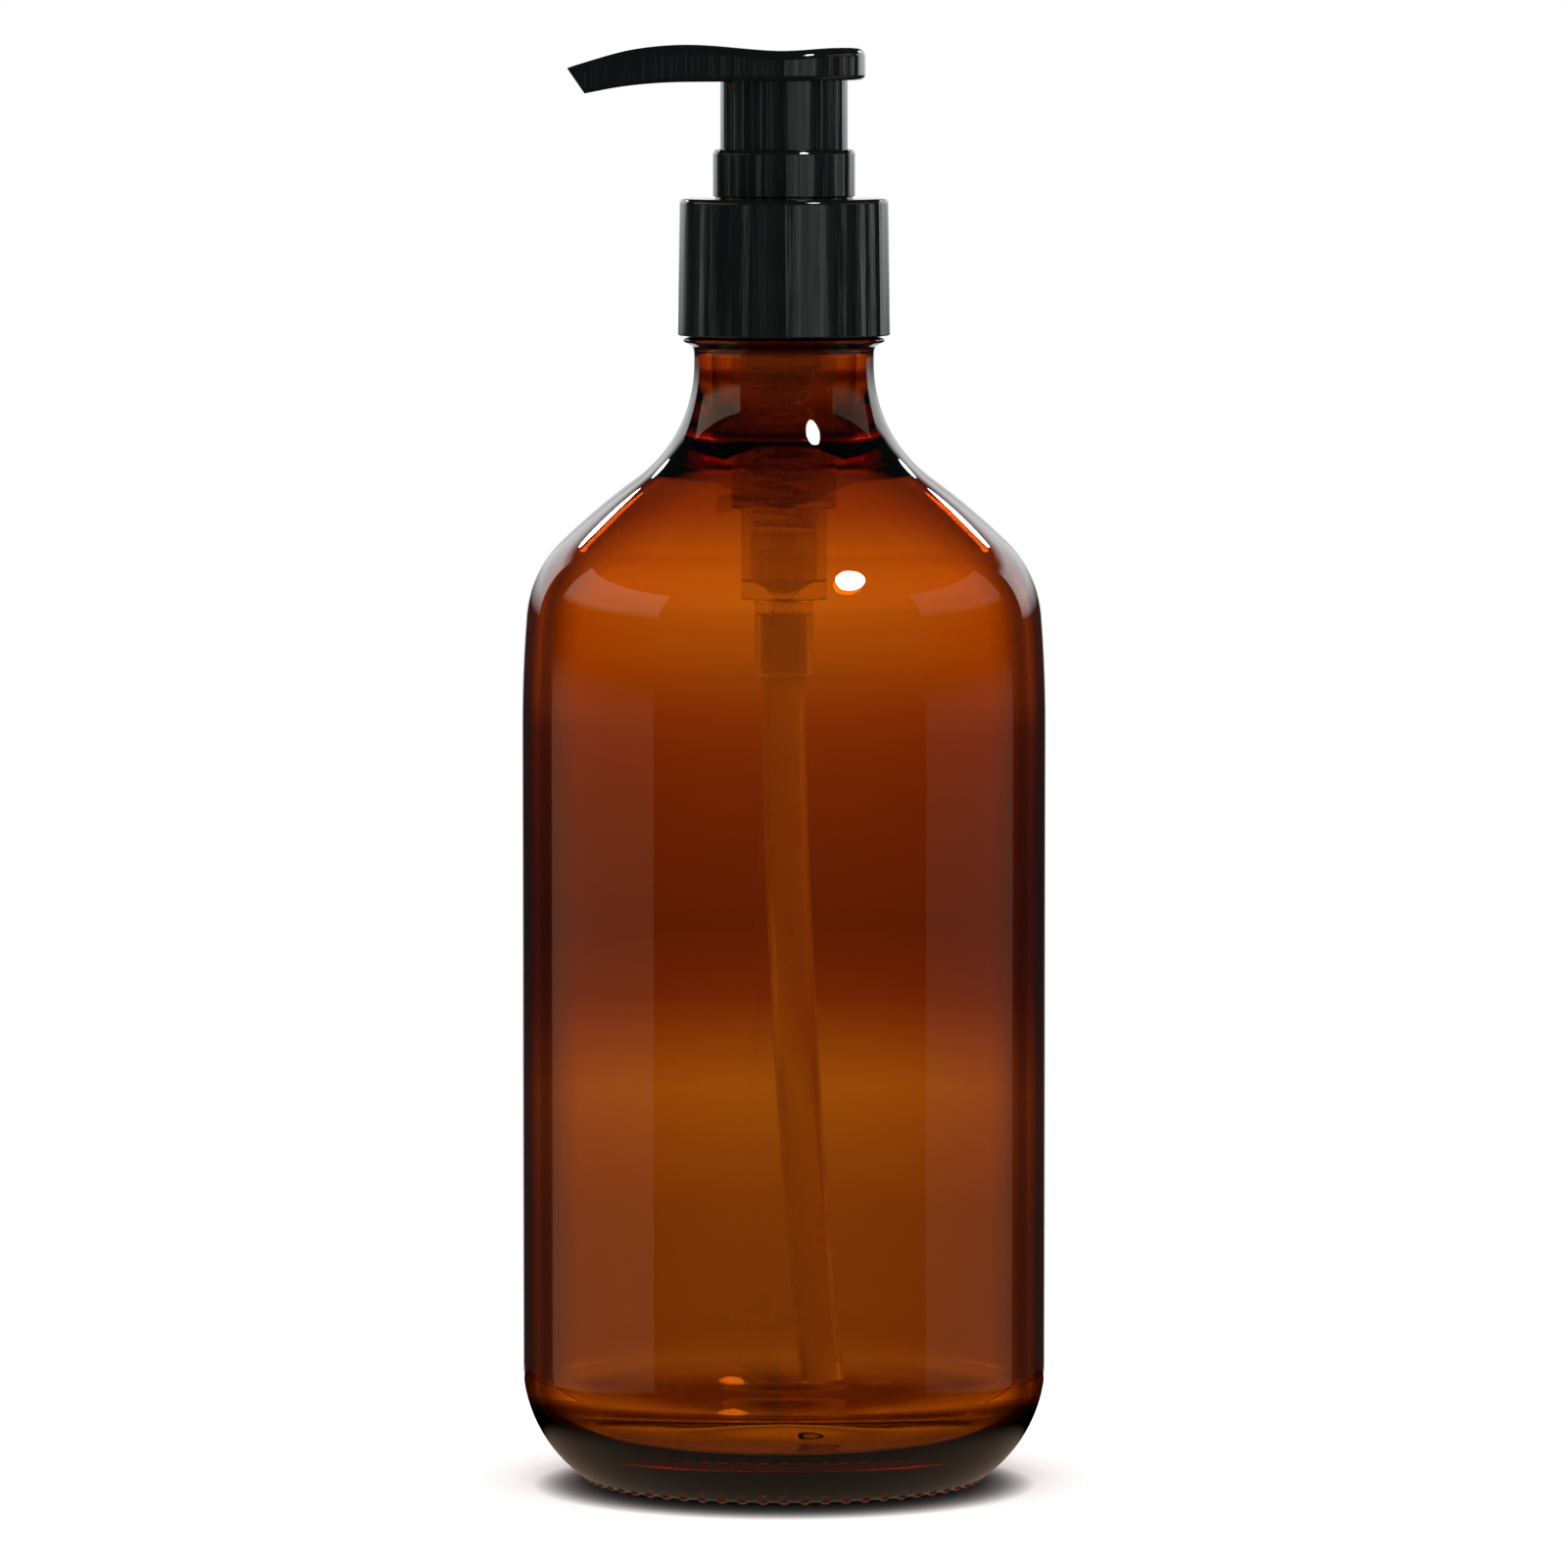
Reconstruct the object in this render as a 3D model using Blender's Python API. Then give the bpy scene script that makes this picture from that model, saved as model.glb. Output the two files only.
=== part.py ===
"""A soap dispenser: a round amber glass bottle with a black lotion pump, the head raised.

Outlines are in millimetres, and MM turns them into metres. +Z is up, the origin is the centre of the
base, every piece is turned round the Z axis, and the nozzle points along -X.
"""

import math

import bmesh
import bpy
from mathutils import Matrix, Vector

MM = 0.001

# Driving dimensions, in mm.
BODY_R = 37.5  # outside of the bottle's straight wall
WALL = 2.5  # thickness of the glass wall
BODY_TOP = 108.0  # where the straight wall ends
HEEL_R = 20.0
SIDE_R = 200.0  # the wall's slow curve above BODY_TOP
SHOULDER_R = 16.5
SHOULDER_CENTRE = (20.41, 122.68)
CROWN_R = 100.0  # the nearly flat slope between the shoulder and the neck
CROWN_CENTRE = (-37.8, 62.82)
SHOULDER_START, CROWN_START, CROWN_END = 4.59, 45.8, 53.92  # degrees above level, of the outward normal
NECK_ARC_R = 20.0
NECK_ARC_CENTRE = (32.87, 159.8)
NECK_R = 12.87
BORE_R = 10.4  # of the bottle's mouth
FLOOR_Z = 6.2  # of the inside, where its dome starts

PITCH = 4.233  # six threads to the inch
FINISH_R = 12.6  # the wall under the bottle's thread
LIP_Z = 175.2
BOTTLE_THREAD_Z = 166.2  # middle of the bottle's thread where it starts
COLLAR_THREAD_DROP = 1.45  # the collar's thread runs this far under the bottle's

COLLAR_BOTTOM = 163.9
COLLAR_TOP = 183.4
COLLAR_IN_R = 14.0
RING_TOP = 190.4  # top of the chaplet's visible ring

CYLINDER_R = 6.3  # bore of the pump's cylinder
STEM_R = 3.5
STEM_BORE_R = 1.75
HEAD_R = 11.6  # round part of the head, seen from above
HEAD_SIDE_SLOPE = math.radians(15.13)  # how fast the head narrows to its nozzle
SKIRT_R = 9.1
TIP_TOP = (-30.8, 201.9)  # (x, z) of the nozzle's slanted end
TIP_BOTTOM = (-28.3, 198.3)

SPRING_BOTTOM = 135.6
SPRING_TOP = 158.7
TUBE_R = 3.2
TUBE_BORE_R = 2.3
TUBE_TOP = 124.4
TUBE_END = 14.2
TUBE_BOW = 5.5  # how far the tube's end stands off the axis

GLASS_SEGMENTS = 36
PUMP_SEGMENTS = 24


# Materials


def look(name, colour, roughness, metallic=0.0, transmission=0.0):
    material = bpy.data.materials.new(name)
    material.use_nodes = True
    shader = material.node_tree.nodes["Principled BSDF"]
    shader.inputs["Base Color"].default_value = (*colour, 1.0)
    shader.inputs["Roughness"].default_value = roughness
    shader.inputs["Metallic"].default_value = metallic
    shader.inputs["Transmission Weight"].default_value = transmission
    return material


# Shapes


def arc(centre, radius, start, end, steps):
    """Points on an arc, with its angles in degrees from the first axis towards the second."""
    angles = [math.radians(start + (end - start) * i / steps) for i in range(steps + 1)]
    return [
        (centre[0] + radius * math.cos(a), centre[1] + radius * math.sin(a)) for a in angles
    ]


def dome(radius, low, high, steps=4):
    """Points from the axis, at the height high, out and down to the radius and the height low."""
    shares = [i / steps for i in range(steps + 1)]
    return [(radius * t, low + (high - low) * math.cos(math.pi / 2 * t) ** 1.5) for t in shares]


def finished(name, bm, material):
    """The object made from a closed bmesh, its faces turned outwards and shaded smooth."""
    bmesh.ops.remove_doubles(bm, verts=bm.verts, dist=1e-7)
    bmesh.ops.recalc_face_normals(bm, faces=bm.faces)
    mesh = bpy.data.meshes.new(name)
    bm.to_mesh(mesh)
    bm.free()
    mesh.shade_smooth()
    mesh.set_sharp_from_angle(angle=math.radians(35))
    if material:
        mesh.materials.append(material)
    obj = bpy.data.objects.new(name, mesh)
    bpy.context.collection.objects.link(obj)
    return obj


def turned(name, outline, material, segments=PUMP_SEGMENTS):
    """An outline of (radius, height) points spun round the Z axis. It starts and ends on the axis,
    or else it is a closed loop."""
    bm = bmesh.new()
    verts = [bm.verts.new((r * MM, 0, z * MM)) for r, z in outline]
    on_axis = outline[0][0] == 0 and outline[-1][0] == 0
    pairs = list(zip(verts, verts[1:] + ([] if on_axis else verts[:1])))
    edges = [bm.edges.new(pair) for pair in pairs]
    bmesh.ops.spin(
        bm,
        geom=verts + edges,
        axis=(0, 0, 1),
        cent=(0, 0, 0),
        angle=math.tau,
        steps=segments,
        use_merge=True,
    )
    return finished(name, bm, material)


def bridged(bm, rings):
    """Quads between each ring of vertices and the next; all rings have the same length."""
    for near, far in zip(rings, rings[1:]):
        count = len(near)
        for i in range(count):
            j = (i + 1) % count
            corners = [near[i], near[j], far[j], far[i]]
            distinct = list(dict.fromkeys(corners))
            if len(distinct) > 2:
                bm.faces.new(distinct)


def ridge(name, root, crest, base_width, crest_width, z, first, last):
    """A helical ridge of a right-hand thread from angle first to last, in degrees. Its middle is at
    height z at angle 0, and it is sunk in the wall at radius root and fades out at both ends."""
    sink = math.copysign(0.4, root - crest)
    fade = 35.0
    steps = round((last - first) / 360 * GLASS_SEGMENTS)
    bm = bmesh.new()
    rings = []
    for i in range(steps + 1):
        angle = first + (last - first) * i / steps
        full = min(1.0, (angle - first) / fade, (last - angle) / fade)
        top_r = root + sink / 4 + (crest - root - sink / 4) * full
        middle = z + PITCH * angle / 360
        turn = Matrix.Rotation(math.radians(angle), 3, "Z")
        section = [
            (root + sink, -base_width / 2),
            (top_r, -crest_width / 2),
            (top_r, crest_width / 2),
            (root + sink, base_width / 2),
        ]
        rings.append(
            [bm.verts.new(turn @ Vector((r * MM, 0, (middle + dz) * MM))) for r, dz in section]
        )
    bridged(bm, rings)
    bm.faces.new(rings[0])
    bm.faces.new(rings[-1])
    return finished(name, bm, None)


def sector(name, inner, outer, bottom, top, start, end):
    """A block that fills the angles from start to end, in degrees, of a ring round the Z axis."""
    steps = max(2, round((end - start) / 12))
    bm = bmesh.new()
    rings = []
    for i in range(steps + 1):
        turn = Matrix.Rotation(math.radians(start + (end - start) * i / steps), 3, "Z")
        section = [(inner, bottom), (outer, bottom), (outer, top), (inner, top)]
        rings.append([bm.verts.new(turn @ Vector((r * MM, 0, z * MM))) for r, z in section])
    bridged(bm, rings)
    bm.faces.new(rings[0])
    bm.faces.new(rings[-1])
    return finished(name, bm, None)


def rod(name, radius, start, end, segments=16):
    """A plain round rod between two points, in mm."""
    start, end = Vector(start) * MM, Vector(end) * MM
    along = end - start
    place = Matrix.Translation((start + end) / 2) @ along.to_track_quat("Z", "Y").to_matrix().to_4x4()
    bm = bmesh.new()
    bmesh.ops.create_cone(
        bm,
        cap_ends=True,
        segments=segments,
        radius1=radius * MM,
        radius2=radius * MM,
        depth=along.length,
        matrix=place,
    )
    return finished(name, bm, None)


def combine(target, tool, operation):
    """A Boolean modifier on target, with its tool kept as a hidden helper."""
    modifier = target.modifiers.new(tool.name, "BOOLEAN")
    modifier.operation = operation
    modifier.object = tool
    tool.hide_render = True
    tool.display_type = "WIRE"


def smooth_line(points, x):
    """Height at x of the smooth curve through points, which are in order of x."""
    index = max(1, next((i for i, p in enumerate(points) if p[0] >= x), len(points) - 1))

    def slope(i):
        low, high = points[max(0, i - 1)], points[min(len(points) - 1, i + 1)]
        return (high[1] - low[1]) / (high[0] - low[0])

    (x0, z0), (x1, z1) = points[index - 1], points[index]
    t = (x - x0) / (x1 - x0)
    rise = (x1 - x0) * (t * (1 - t) ** 2 * slope(index - 1) - t * t * (1 - t) * slope(index))
    return z0 + (z1 - z0) * t * t * (3 - 2 * t) + rise


# Pieces


def make_bottle(glass):
    """The glass bottle: outside from the middle of the base up to the lip, then inside down again."""
    side_centre = (BODY_R - SIDE_R, BODY_TOP)
    heel_centre = (BODY_R - HEEL_R, 17.0)
    heel_start = -math.degrees(math.asin(heel_centre[1] / HEEL_R))
    inner_heel = (27.0, 14.0)
    inner_heel_r = BODY_R - WALL - inner_heel[0]
    outside = (
        dome(21.5, 1.2, 4.8)
        + [(23.3, 0.7), (24.6, 0)]
        + arc(heel_centre, HEEL_R, heel_start, 0, 5)
        + arc(side_centre, SIDE_R, 0, SHOULDER_START, 2)
        + arc(SHOULDER_CENTRE, SHOULDER_R, SHOULDER_START, CROWN_START, 4)[1:]
        + arc(CROWN_CENTRE, CROWN_R, CROWN_START, CROWN_END, 2)[1:]
        + arc(NECK_ARC_CENTRE, NECK_ARC_R, 180 + CROWN_END, 180, 4)[1:]
        + [(NECK_R, 161.3), (14.2, 162.7), (14.4, 163.2), (14.2, 163.6), (FINISH_R, 163.6)]
        + [(FINISH_R, LIP_Z - 0.5), (FINISH_R - 0.5, LIP_Z)]
    )
    inside = (
        [(BORE_R + 0.5, LIP_Z), (BORE_R, LIP_Z - 0.5)]
        + [(BORE_R, 149.6), (10.66, 148.47), (11.43, 147.59)]
        + arc(CROWN_CENTRE, CROWN_R - WALL, CROWN_END, CROWN_START, 2)
        + arc(SHOULDER_CENTRE, SHOULDER_R - WALL, CROWN_START, SHOULDER_START, 3)[1:]
        + arc(side_centre, SIDE_R - WALL, SHOULDER_START, 0, 2)[1:]
        + arc(inner_heel, inner_heel_r, 0, -90, 4)
        + dome(19.0, FLOOR_Z, 8.6)[::-1]
    )
    bottle = turned("bottle", outside + inside, glass, GLASS_SEGMENTS)
    thread = ridge("bottle_thread", FINISH_R, 13.7, 2.3, 1.0, BOTTLE_THREAD_Z, 0, 540)
    combine(bottle, thread, "UNION")
    return bottle


def make_collar(plastic):
    """The screw collar: a cap with a hole for the chaplet, and a thread that catches the bottle's."""
    fillet = 0.7
    hole = 9.9
    outline = (
        [(hole, COLLAR_TOP)]
        + arc((14.9 - fillet, COLLAR_TOP - fillet), fillet, 90, 0, 3)
        + [(15.2, COLLAR_BOTTOM), (COLLAR_IN_R + 0.3, COLLAR_BOTTOM), (COLLAR_IN_R, COLLAR_BOTTOM + 0.3)]
        + [(COLLAR_IN_R, COLLAR_TOP - 1.2), (hole, COLLAR_TOP - 1.2)]
    )
    collar = turned("collar", outline, plastic, GLASS_SEGMENTS)
    thread_z = BOTTLE_THREAD_Z - COLLAR_THREAD_DROP
    thread = ridge("collar_thread", COLLAR_IN_R, 12.95, 1.6, 0.7, thread_z, 15, 465)
    combine(collar, thread, "UNION")
    return collar


def make_chaplet(plastic):
    """The lock ring: a sleeve for the head's skirt, a guide for the stem and a plug in the cylinder."""
    outline = [
        (9.25, RING_TOP - 0.2),
        (9.35, RING_TOP),
        (10.0, RING_TOP - 0.25),
        (10.15, RING_TOP - 0.7),
        (10.15, COLLAR_TOP + 0.6),
        (9.9, COLLAR_TOP + 0.3),
        (9.8, COLLAR_TOP + 0.3),
        (9.8, 180.0),
        (10.3, 179.8),
        (10.3, 179.3),
        (9.8, 179.1),
        (9.8, 178.1),
        (CYLINDER_R - 0.15, 178.1),
        (CYLINDER_R - 0.15, 173.0),
        (STEM_R + 0.25, 173.0),
        (STEM_R + 0.25, 182.5),
        (5.3, 182.5),
        (5.3, 184.0),
        (6.5, 184.0),
        (6.5, 179.3),
        (9.25, 179.3),
    ]
    chaplet = turned("chaplet", outline, plastic)
    for side, start in (("a", 99.5), ("b", 279.5)):
        stop = sector(f"turn_stop_{side}", 6.0, 7.6, 178.8, 184.0, start, start + 71)
        combine(chaplet, stop, "UNION")
    return chaplet


def make_housing(clear):
    """The pump's cylinder: flange and rim on top, the ball's seat and the dip tube's socket below."""
    outline = [
        (11.6, 181.9),
        (11.6, 177.8),
        (12.9, 177.8),
        (12.9, 176.6),
        (7.55, 176.6),
        (7.55, 139.2),
        (7.05, 138.7),
        (6.15, 138.7),
        (6.15, 127.8),
        (5.8, 126.95),
        (4.95, 126.6),
        (4.2, 126.6),
        (4.2, 115.4),
        (TUBE_R + 0.15, 115.4),
        (TUBE_R + 0.15, 124.6),
        (1.5, 124.6),
        (1.5, 128.0),
        (2.9, 129.4),
        (4.9, 129.4),
        (4.9, 140.1),
        (CYLINDER_R, 140.1),
        (CYLINDER_R, 177.8),
        (10.1, 177.8),
        (10.1, 178.8),
        (10.5, 179.0),
        (10.5, 180.1),
        (10.1, 180.3),
        (10.1, 181.9),
    ]
    housing = turned("housing", outline, clear)
    vent = rod("vent_hole", 0.8, (0, 5.0, 171.0), (0, 9.0, 171.0))
    combine(housing, vent, "DIFFERENCE")
    return housing


def make_stem(plastic):
    """The hollow stem, with the collar that stops it under the chaplet and two inlet ports."""
    outline = [
        (STEM_R, 199.8),
        (STEM_R, 172.7),
        (5.0, 172.7),
        (5.0, 171.4),
        (STEM_R, 171.4),
        (STEM_R, 161.8),
        (STEM_BORE_R, 161.8),
        (STEM_BORE_R, 199.8),
    ]
    stem = turned("stem", outline, plastic)
    ports = rod("stem_ports", 0.7, (0, -5.0, 163.2), (0, 5.0, 163.2), 12)
    combine(stem, ports, "DIFFERENCE")
    return stem


def make_piston(plastic):
    """The piston: a sleeve on the stem with a lip at each end against the cylinder."""
    outline = [
        (6.2, 169.6),
        (6.2, 168.6),
        (5.6, 167.0),
        (5.6, 164.2),
        (6.2, 162.6),
        (6.2, 161.6),
        (5.5, 161.6),
        (5.0, 163.0),
        (4.5, 163.0),
        (4.5, 161.6),
        (STEM_R + 0.15, 161.6),
        (STEM_R + 0.15, 169.2),
        (4.5, 169.2),
        (4.5, 167.8),
        (5.0, 167.8),
        (5.5, 169.6),
    ]
    return turned("piston", outline, plastic)


def make_valve_rod(plastic):
    """The spigot in the stem, the flange that closes the piston, and the guide inside the spring."""
    spigot = STEM_BORE_R - 0.2
    outline = [
        (0, 168.0),
        (spigot - 0.35, 168.0),
        (spigot, 167.4),
        (spigot, 161.3),
        (5.4, 161.3),
        (5.4, 159.6),
        (4.9, 159.0),
        (3.3, 159.0),
        (3.3, 150.6),
        (2.8, 150.0),
        (0, 150.0),
    ]
    return turned("valve_rod", outline, plastic)


def make_spring(steel):
    """The return spring: a wire helix, with closed coils at both ends."""
    wire, mean, coils, steps = 0.45, 4.1, 8, 14
    low, high = SPRING_BOTTOM + wire, SPRING_TOP - wire
    count = coils * steps
    curve = bpy.data.curves.new("spring", "CURVE")
    curve.dimensions = "3D"
    curve.bevel_depth = wire * MM
    curve.bevel_resolution = 1
    curve.use_fill_caps = True
    line = curve.splines.new("POLY")
    line.points.add(count)
    for i in range(count + 1):
        turn = i / steps
        closed = wire * 2.1  # rise of an end coil in one turn
        open_rise = (high - low - 2 * closed) / (coils - 2)
        rise = closed * min(turn, 1) + open_rise * min(max(turn - 1, 0), coils - 2)
        rise += closed * max(0, turn - coils + 1)
        angle = math.tau * turn
        place = Vector((mean * math.cos(angle), mean * math.sin(angle), low + rise)) * MM
        line.points[i].co = (*place, 1)
    curve.materials.append(steel)
    spring = bpy.data.objects.new("spring", curve)
    bpy.context.collection.objects.link(spring)
    return spring


def make_dip_tube(clear):
    """The tube down to the floor. It bows slowly towards +X, and its foot is cut at a slant."""
    straight, sides, steps = 115.0, 16, 10
    slant = math.tan(math.radians(25))

    def place(z):
        depth = max(0.0, straight - z) / (straight - TUBE_END)
        return Vector((TUBE_BOW * depth**1.8, 0, z))

    heights = [TUBE_TOP] + [straight + (TUBE_END - straight) * i / steps for i in range(steps + 1)]
    bm = bmesh.new()
    walls = []
    for radius in (TUBE_R, TUBE_BORE_R):
        rings = []
        for z in heights:
            along = (place(z - 1) - place(z + 1)).normalized()
            side = Vector((0, 1, 0))
            across = side.cross(along)
            ring = []
            for k in range(sides):
                angle = math.tau * k / sides
                offset = (across * math.cos(angle) + side * math.sin(angle)) * radius
                cut = along * (slant * offset.y if z == TUBE_END else 0)
                ring.append(bm.verts.new((place(z) + offset + cut) * MM))
            rings.append(ring)
        bridged(bm, rings)
        walls.append(rings)
    outer, inner = walls
    bridged(bm, [outer[0], inner[0]])
    bridged(bm, [outer[-1], inner[-1]])
    return finished("dip_tube", bm, clear)


def head_outline(reach):
    """Points round the head as seen from above, in mm, each with the point of its middle line."""
    tangent = 90 + math.degrees(HEAD_SIDE_SLOPE)
    round_part = [((x, y), (0.0, 0.0)) for x, y in arc((0, 0), HEAD_R, -tangent, tangent, 26)]
    x0 = -HEAD_R * math.sin(HEAD_SIDE_SLOPE)
    side = []
    for i in range(1, 8):
        x = x0 + (reach - x0) * i / 7
        y = (HEAD_R + x * math.sin(HEAD_SIDE_SLOPE)) / math.cos(HEAD_SIDE_SLOPE)
        side.append(((x, y), (x, 0.0)))
    mirrored = [((x, -y), middle) for (x, y), middle in reversed(side)]
    return round_part + side + mirrored


def make_head(plastic):
    """The head: a flat drop-shaped body with its nozzle, a skirt, a socket for the stem, two lugs
    inside the skirt and the channel to the nozzle's slanted end."""
    top_line = [(-34, 200.8), (-28.8, 202.6), (-21.3, 204.6), (-13.3, 205.3), (-0.7, 204.4), (7, 204.8), (12, 204.8)]
    bottom_line = [(-34, 197.2), (-28.3, 198.3), (-22.9, 199.3), (-17.1, 199.85), (-9.5, 200.0), (12, 200.2)]
    top_edge, bottom_edge = 1.3, 0.8
    bevel = 1 - math.sqrt(0.5)
    section = [  # (inset from the outline, drop from the top), then (inset, rise from the bottom)
        ("top", 99.0, 0.0),
        ("top", 5.0, 0.0),
        ("top", top_edge, 0.05),
        ("top", top_edge * bevel, top_edge * bevel),
        ("top", 0.0, top_edge),
        ("bottom", 0.0, bottom_edge),
        ("bottom", bottom_edge * bevel, bottom_edge * bevel),
        ("bottom", bottom_edge, 0.0),
        ("bottom", 99.0, 0.0),
    ]
    outline = head_outline(-33.0)
    bm = bmesh.new()
    rings = []
    for face, inset, step in section:
        ring = []
        for edge, middle in outline:
            edge, middle = Vector(edge), Vector(middle)
            reach = (edge - middle).length
            x, y = middle + (edge - middle) * max(0.0, 1 - inset / reach)
            line = top_line if face == "top" else bottom_line
            z = smooth_line(line, x) + (-step if face == "top" else step)
            ring.append(bm.verts.new((x * MM, y * MM, z * MM)))
        rings.append(ring)
    bridged(bm, rings)
    head = finished("actuator_head", bm, plastic)

    skirt = turned("head_skirt", [(SKIRT_R, 201.0), (SKIRT_R, 188.9), (8.0, 188.9), (8.0, 201.0)], None)
    combine(head, skirt, "UNION")
    for side, start in (("a", -8), ("b", 172)):
        lug = sector(f"skirt_lug_{side}", 6.9, 8.5, 189.1, 191.4, start, start + 16)
        combine(head, lug, "UNION")
    socket = rod("head_socket", 5.0, (0, 0, 193.5), (0, 0, 201.0), PUMP_SEGMENTS)
    combine(head, socket, "UNION")
    well = rod("stem_well", STEM_R + 0.1, (0, 0, 190.0), (0, 0, 200.1), PUMP_SEGMENTS)
    combine(head, well, "DIFFERENCE")
    riser = rod("riser", STEM_BORE_R, (0, 0, 199.0), (0, 0, 203.2), 20)
    combine(head, riser, "DIFFERENCE")
    channel = rod("channel", 1.25, (-0.5, 0, 202.0), (-34.0, 0, 199.75), 14)
    combine(head, channel, "DIFFERENCE")

    low, high = Vector((TIP_BOTTOM[0], 0, TIP_BOTTOM[1])), Vector((TIP_TOP[0], 0, TIP_TOP[1]))
    up = (high - low).normalized()
    out = up.cross(Vector((0, 1, 0)))
    if out.x > 0:
        out.negate()
    size = 16.0
    bm = bmesh.new()
    place = Matrix((out, Vector((0, 1, 0)), out.cross(Vector((0, 1, 0))))).transposed().to_4x4()
    place.translation = ((low + high) / 2 + out * size / 2) * MM
    bmesh.ops.create_cube(bm, size=size * MM, matrix=place)
    tip = finished("tip_cut", bm, None)
    combine(head, tip, "DIFFERENCE")
    return head


def make_ball(steel):
    """The ball of the foot valve, resting on its seat."""
    bm = bmesh.new()
    place = Matrix.Translation(Vector((0, 0, 129.5)) * MM)
    bmesh.ops.create_icosphere(bm, subdivisions=3, radius=2.0 * MM, matrix=place)
    return finished("inlet_ball", bm, steel)


def ring(name, inner, outer, bottom, top, material):
    return turned(name, [(outer, top), (outer, bottom), (inner, bottom), (inner, top)], material)


def main():
    for obj in list(bpy.data.objects):
        bpy.data.objects.remove(obj)

    glass = look("amber_glass", (0.36, 0.10, 0.01), 0.03, transmission=1.0)
    black = look("black_plastic", (0.012, 0.012, 0.013), 0.22)
    clear = look("natural_plastic", (0.78, 0.77, 0.72), 0.35, transmission=0.5)
    seal = look("white_seal", (0.75, 0.75, 0.72), 0.6)
    steel = look("steel", (0.56, 0.56, 0.58), 0.25, metallic=1.0)

    seat_outline = [(4.7, 135.4), (4.7, 129.8), (2.9, 129.8), (2.9, 133.0), (1.3, 133.0), (1.3, 135.4)]
    bodies = {
        "pump_axis": [
            make_housing(clear),
            make_chaplet(black),
            ring("outer_gasket", 10.5, 12.6, LIP_Z + 0.2, LIP_Z + 1.2, seal),
            ring("stem_seal", STEM_R + 0.2, 5.1, 182.75, 183.8, seal),
            turned("spring_seat", seat_outline, clear),
            make_dip_tube(clear),
            make_spring(steel),
        ],
        "collar_axis": [make_collar(black)],
        "press_axis": [make_valve_rod(clear)],
        "head_axis": [make_head(black), make_stem(black)],
        "piston_axis": [make_piston(clear)],
        "ball_axis": [make_ball(steel)],
    }
    bottle = make_bottle(glass)
    for name, pieces in bodies.items():
        axis = bpy.data.objects.new(name, None)  # an empty on the joint's axis
        axis.parent = bottle
        bpy.context.collection.objects.link(axis)
        for piece in pieces:
            piece.parent = axis


main()
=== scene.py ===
"""Looks of the soap pump dispenser: amber glass, glossy black plastic and translucent inner parts.

Outlines are (radius, height) points in millimetres, and MM turns them into metres. Every piece is
turned round the Z axis except the head and the dip tube, and stands where its CAD node stands.
"""

import math

import bmesh
import bpy
from mathutils import Matrix, Vector


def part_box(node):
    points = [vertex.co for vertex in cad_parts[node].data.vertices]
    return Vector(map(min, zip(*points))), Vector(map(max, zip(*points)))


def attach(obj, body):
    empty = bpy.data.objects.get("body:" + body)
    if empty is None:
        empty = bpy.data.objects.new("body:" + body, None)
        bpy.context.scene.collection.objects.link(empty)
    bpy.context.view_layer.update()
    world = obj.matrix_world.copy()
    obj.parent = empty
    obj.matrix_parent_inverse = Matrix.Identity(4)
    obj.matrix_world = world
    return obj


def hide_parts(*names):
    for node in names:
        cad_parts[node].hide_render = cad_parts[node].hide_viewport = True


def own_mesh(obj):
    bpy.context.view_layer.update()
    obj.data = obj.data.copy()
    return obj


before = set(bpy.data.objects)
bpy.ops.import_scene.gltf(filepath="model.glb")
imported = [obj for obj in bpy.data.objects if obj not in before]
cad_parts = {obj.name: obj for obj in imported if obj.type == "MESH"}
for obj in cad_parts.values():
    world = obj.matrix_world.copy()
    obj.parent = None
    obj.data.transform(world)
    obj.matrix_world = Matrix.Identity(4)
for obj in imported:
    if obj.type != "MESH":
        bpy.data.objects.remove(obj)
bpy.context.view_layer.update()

MM = 0.001


def node_box(node):
    """(largest radius along X, lowest height, highest height) of a CAD node, in mm."""
    low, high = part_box(node)
    return high.x / MM, low.z / MM, high.z / MM


BODY_R, _, LIP_Z = node_box("bottle")
COLLAR_R, COLLAR_BOTTOM, COLLAR_TOP = node_box("collar")
_, CHAPLET_BOTTOM, RING_TOP = node_box("chaplet")
FLANGE_R, SOCKET_BOTTOM, RIM_TOP = node_box("housing")
HEAD_R, SKIRT_BOTTOM, HEAD_TOP = node_box("actuator_head")
_, STEM_BOTTOM, STEM_TOP = node_box("stem")
PISTON_R, PISTON_BOTTOM, PISTON_TOP = node_box("piston")
_, ROD_BOTTOM, ROD_TOP = node_box("valve_rod")
_, SPRING_BOTTOM, SPRING_TOP = node_box("spring")
SEAT_R, SEAT_BOTTOM, SEAT_TOP = node_box("spring_seat")
_, _, TUBE_TOP = node_box("dip_tube")

WALL = 2.5  # of the glass
RING_LIFT = 0.35  # the bottle stands on its stipples, this far under its bearing ring
NECK_R = 12.87
BORE_R = 10.4
FINISH_R = 12.6
THREAD_R = 13.7
PITCH = 4.233
BOTTLE_THREAD_Z = 166.2
COLLAR_IN_R = 14.0
SKIRT_R = 9.1
STEM_R = 3.5
STEM_BORE_R = 1.75
CYLINDER_R = 6.3
TUBE_R = 3.2
TUBE_BORE_R = 2.3
TUBE_BOW = 5.5

TURNS = 192  # faces round the bottle
FINE = 96  # faces round the other turned pieces


# ---------------------------------------------------------------- shapes


def arc(centre, radius, start, end, steps):
    """Points on an arc, with its angles in degrees from the first axis towards the second."""
    angles = [math.radians(start + (end - start) * i / steps) for i in range(steps + 1)]
    return [
        (centre[0] + radius * math.cos(a), centre[1] + radius * math.sin(a)) for a in angles
    ]


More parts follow.
